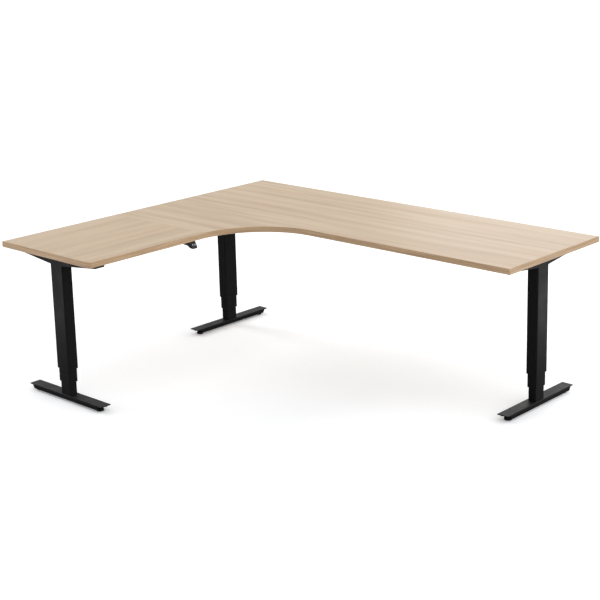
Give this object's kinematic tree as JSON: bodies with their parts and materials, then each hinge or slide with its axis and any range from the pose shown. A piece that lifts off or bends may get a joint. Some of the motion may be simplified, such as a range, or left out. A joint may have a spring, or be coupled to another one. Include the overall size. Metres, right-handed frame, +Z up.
{
  "type": "corner sit-stand desk",
  "caption": "L-shaped height adjustable desk with a swept inner corner, on black telescopic electric legs with flat T-feet and an up-down handset under the edge.",
  "frame": {"origin": "on the floor, under the middle of the worktop's outline", "axes": "+X along the main wing away from the outer corner, +Y to the back edge, +Z up"},
  "size_m": [2, 1.625, 0.685],
  "materials": {
    "oak_melamine": "pale oak melamine on chipboard, satin, straight grain",
    "oak_edge_band": "matching oak-grain edge band, satin",
    "black_powder_coat": "black powder coat with a fine texture, satin",
    "black_glide": "black acetal",
    "pad_plastic": "black glass-filled nylon pad on a steel stem",
    "spindle_steel": "bright rolled steel",
    "motor_case": "black motor can and gear case",
    "black_moulding": "black ABS with a fine spark texture",
    "button_plastic": "black ABS keys with pale arrow marks",
    "zinc_steel": "bright zinc plated steel",
    "plywood_tongue": "plain birch plywood"
  },
  "bodies": {
    "base": {"left_inner_tube": "black_powder_coat", "left_inner_glide": "black_glide", "left_nut_tube": "spindle_steel", "left_foot": "black_powder_coat", "corner_inner_tube": "black_powder_coat", "corner_inner_glide": "black_glide", "corner_nut_tube": "spindle_steel", "corner_foot": "black_powder_coat", "right_inner_tube": "black_powder_coat", "right_inner_glide": "black_glide", "right_nut_tube": "spindle_steel", "right_foot": "black_powder_coat", "foot_bolts": "zinc_steel"},
    "worktop": {"corner_panel": "oak_melamine", "wing_panel": "oak_melamine", "corner_edge_band": "oak_edge_band", "wing_edge_band": "oak_edge_band", "seam_plates": "zinc_steel", "seam_tongue": "plywood_tongue", "front_rail": "black_powder_coat", "rear_rail": "black_powder_coat", "wing_outer_rail": "black_powder_coat", "wing_inner_rail": "black_powder_coat", "control_box_tray": "black_moulding", "control_box_cover": "black_moulding", "handset": "black_moulding", "worktop_screws": "zinc_steel", "frame_bolts": "zinc_steel", "left_top_bracket": "black_powder_coat", "left_gearmotor": "motor_case", "left_drive_rod": "spindle_steel", "left_outer_tube": "black_powder_coat", "left_outer_glide": "black_glide", "corner_top_bracket": "black_powder_coat", "corner_gearmotor": "motor_case", "corner_drive_rod": "spindle_steel", "corner_outer_tube": "black_powder_coat", "corner_outer_glide": "black_glide", "right_top_bracket": "black_powder_coat", "right_gearmotor": "motor_case", "right_drive_rod": "spindle_steel", "right_outer_tube": "black_powder_coat", "right_outer_glide": "black_glide"},
    "left_middle_stage": {"left_middle_tube": "black_powder_coat", "left_middle_glides": "black_glide", "left_hollow_screw": "spindle_steel"},
    "corner_middle_stage": {"corner_middle_tube": "black_powder_coat", "corner_middle_glides": "black_glide", "corner_hollow_screw": "spindle_steel"},
    "right_middle_stage": {"right_middle_tube": "black_powder_coat", "right_middle_glides": "black_glide", "right_hollow_screw": "spindle_steel"},
    "left_levelling_foot_a": {"left_levelling_foot_a": "pad_plastic"},
    "left_levelling_foot_b": {"left_levelling_foot_b": "pad_plastic"},
    "corner_levelling_foot_a": {"corner_levelling_foot_a": "pad_plastic"},
    "corner_levelling_foot_b": {"corner_levelling_foot_b": "pad_plastic"},
    "right_levelling_foot_a": {"right_levelling_foot_a": "pad_plastic"},
    "right_levelling_foot_b": {"right_levelling_foot_b": "pad_plastic"},
    "up_button": {"up_button": "button_plastic"},
    "down_button": {"down_button": "button_plastic"}
  },
  "joints": [
    {"name": "desk_lift", "type": "slide", "parent": "base", "child": "worktop", "axis": [0, 0, 1], "range_m": [-0.11, 0.54]},
    {"name": "left_middle_lift", "type": "slide", "parent": "base", "child": "left_middle_stage", "axis": [0, 0, 1], "range_m": [-0.055, 0.27]},
    {"name": "corner_middle_lift", "type": "slide", "parent": "base", "child": "corner_middle_stage", "axis": [0, 0, 1], "range_m": [-0.055, 0.27]},
    {"name": "right_middle_lift", "type": "slide", "parent": "base", "child": "right_middle_stage", "axis": [0, 0, 1], "range_m": [-0.055, 0.27]},
    {"name": "left_level_a", "type": "slide", "parent": "base", "child": "left_levelling_foot_a", "axis": [0, 0, -1], "range_m": [0, 0.008]},
    {"name": "left_level_b", "type": "slide", "parent": "base", "child": "left_levelling_foot_b", "axis": [0, 0, -1], "range_m": [0, 0.008]},
    {"name": "corner_level_a", "type": "slide", "parent": "base", "child": "corner_levelling_foot_a", "axis": [0, 0, -1], "range_m": [0, 0.008]},
    {"name": "corner_level_b", "type": "slide", "parent": "base", "child": "corner_levelling_foot_b", "axis": [0, 0, -1], "range_m": [0, 0.008]},
    {"name": "right_level_a", "type": "slide", "parent": "base", "child": "right_levelling_foot_a", "axis": [0, 0, -1], "range_m": [0, 0.008]},
    {"name": "right_level_b", "type": "slide", "parent": "base", "child": "right_levelling_foot_b", "axis": [0, 0, -1], "range_m": [0, 0.008]},
    {"name": "up_press", "type": "slide", "parent": "worktop", "child": "up_button", "axis": [-0.8716, 0, -0.4903], "range_m": [0, 0.001], "stiffness_N_per_m": 1500, "springref_m": -0.001},
    {"name": "down_press", "type": "slide", "parent": "worktop", "child": "down_button", "axis": [-0.8716, 0, -0.4903], "range_m": [0, 0.001], "stiffness_N_per_m": 1500, "springref_m": -0.001}
  ],
  "couplings": [
    {"joint": "left_middle_lift", "follows": "desk_lift", "ratio": 0.5},
    {"joint": "corner_middle_lift", "follows": "desk_lift", "ratio": 0.5},
    {"joint": "right_middle_lift", "follows": "desk_lift", "ratio": 0.5}
  ]
}
